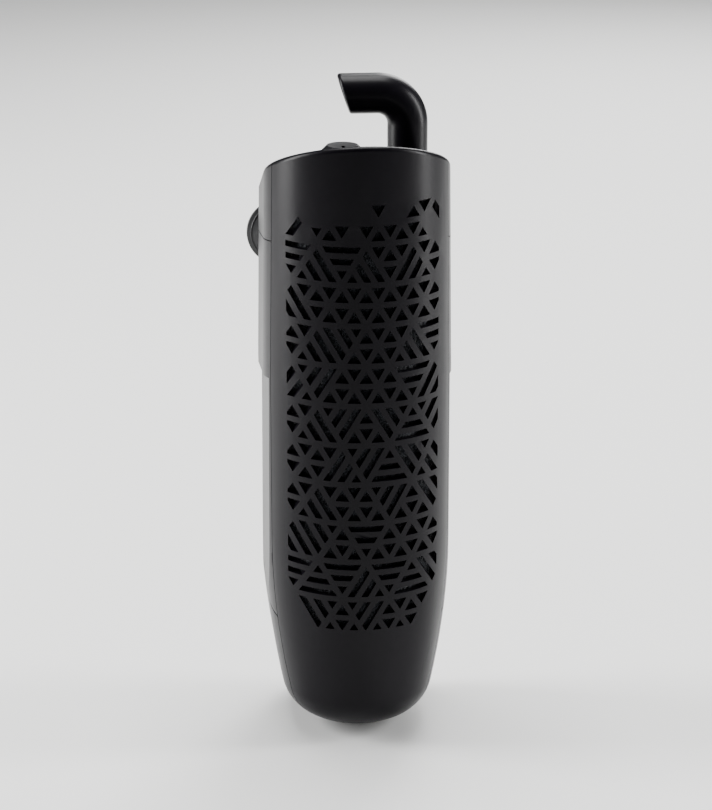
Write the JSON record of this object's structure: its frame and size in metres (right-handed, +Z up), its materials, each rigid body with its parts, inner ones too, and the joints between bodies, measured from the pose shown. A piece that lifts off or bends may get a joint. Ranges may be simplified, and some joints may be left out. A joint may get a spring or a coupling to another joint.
{
  "type": "internal aquarium filter",
  "caption": "Submersible aquarium filter with a latticed pull-off front, a swivelling elbow nozzle and a flow dial on a slanted top, held to the glass by suction cups.",
  "frame": {"origin": "centre of the lower suction cup's rim, on the plane of the glass", "axes": "+Y towards the glass, so the front faces -Y; +Z up; +X to the right seen from the front"},
  "size_m": [0.0643, 0.0646, 0.21],
  "materials": {
    "casing_black": "satin, near black",
    "dial_grey": "satin, dark grey",
    "inner_plastic": "matte, dark grey",
    "cup_rubber": "smooth, black",
    "seal_rubber": "matte, black",
    "foam_dark": "open cell foam",
    "carbon_fleece": "fleece with carbon grains",
    "lamination_steel": "stacked sheet edges",
    "winding_copper": "lacquered wire",
    "bobbin_nylon": "natural nylon",
    "potting": "cast resin",
    "ferrite": "ground ferrite",
    "axle_ceramic": "polished white ceramic",
    "impeller_plastic": "natural white",
    "screw_steel": "stainless"
  },
  "bodies": {
    "filter": {"rear_housing": "casing_black", "head_housing": "casing_black", "top_cap": "casing_black", "cap_screws": "screw_steel", "cable_gland": "seal_rubber", "upper_suction_cups": "cup_rubber", "lower_suction_cup": "cup_rubber", "motor_can": "inner_plastic", "stator_core": "lamination_steel", "coil_bobbin": "bobbin_nylon", "stator_coil": "winding_copper", "potting_resin": "potting", "ceramic_axle": "axle_ceramic", "upper_bush": "seal_rubber", "lower_bush": "seal_rubber", "pump_tray": "inner_plastic", "volute_housing": "inner_plastic", "pump_screws": "screw_steel", "riser_pipe": "inner_plastic", "dial_seal": "seal_rubber", "divider_grid": "inner_plastic", "carbon_pad": "carbon_fleece", "front_foam": "foam_dark", "rear_foam": "foam_dark"},
    "cover": {"front_cover": "casing_black"},
    "nozzle": {"outlet_nozzle": "casing_black", "nozzle_o_ring": "seal_rubber"},
    "regulator": {"flow_dial": "dial_grey", "dial_rod": "inner_plastic", "intake_shutter": "inner_plastic"},
    "rotor": {"rotor_magnet": "ferrite", "impeller": "impeller_plastic"}
  },
  "joints": [
    {"name": "cover_slide", "type": "slide", "parent": "filter", "child": "cover", "axis": [0, -1, 0], "range_m": [0, 0.06]},
    {"name": "nozzle_swivel", "type": "hinge", "parent": "filter", "child": "nozzle", "pos_m": [0.0165, -0.027, 0.1], "axis": [0, 0, 1], "continuous": true},
    {"name": "dial_turn", "type": "hinge", "parent": "filter", "child": "regulator", "pos_m": [-0.0049, -0.04, 0.114], "axis": [0, 0, 1], "range_deg": [0, 60]},
    {"name": "rotor_spin", "type": "hinge", "parent": "filter", "child": "rotor", "pos_m": [-0.0152, -0.024, 0.06], "axis": [0, 0, 1], "continuous": true}
  ]
}
